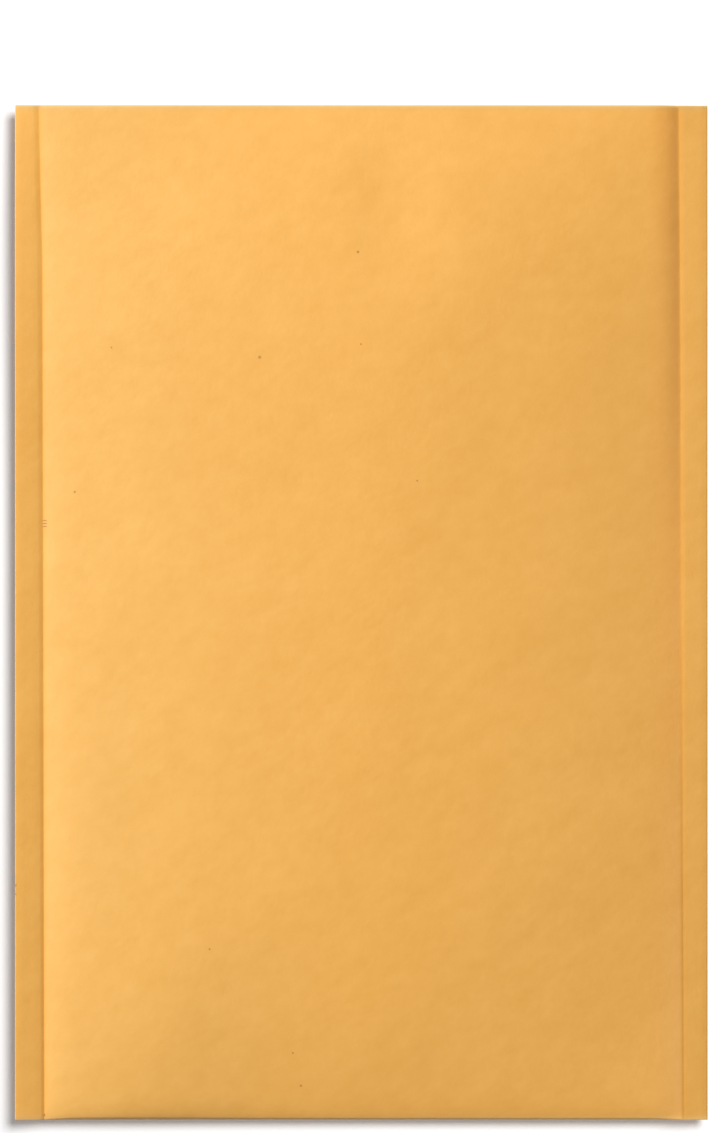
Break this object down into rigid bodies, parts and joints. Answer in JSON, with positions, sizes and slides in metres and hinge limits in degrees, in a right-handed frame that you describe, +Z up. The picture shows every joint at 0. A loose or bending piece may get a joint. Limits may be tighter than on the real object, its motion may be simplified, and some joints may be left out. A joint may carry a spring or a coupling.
{
  "type": "padded envelope",
  "caption": "Flat golden-brown kraft mailer with bonded side seams, a bubble film lining and a self-seal flap folded behind it.",
  "frame": {"origin": "middle of the bounding box's lowest face, on the floor that the envelope lies on", "axes": "+X to the right across the front panel, +Y from the bottom fold to the flap's fold, +Z up out of the front panel"},
  "size_m": [0.2666, 0.3908, 0.0149],
  "materials": {
    "golden_kraft": "smooth machine-finished golden-brown kraft paper with a faint sheen",
    "bubble_film": "translucent polyethylene bubble film",
    "adhesive": "clear tacky hot-melt film",
    "release_paper": "white coated release paper"
  },
  "bodies": {
    "root": {"kraft_envelope": "golden_kraft", "bubble_liner": "bubble_film", "adhesive_strip": "adhesive", "release_strip": "release_paper"}
  },
  "joints": []
}
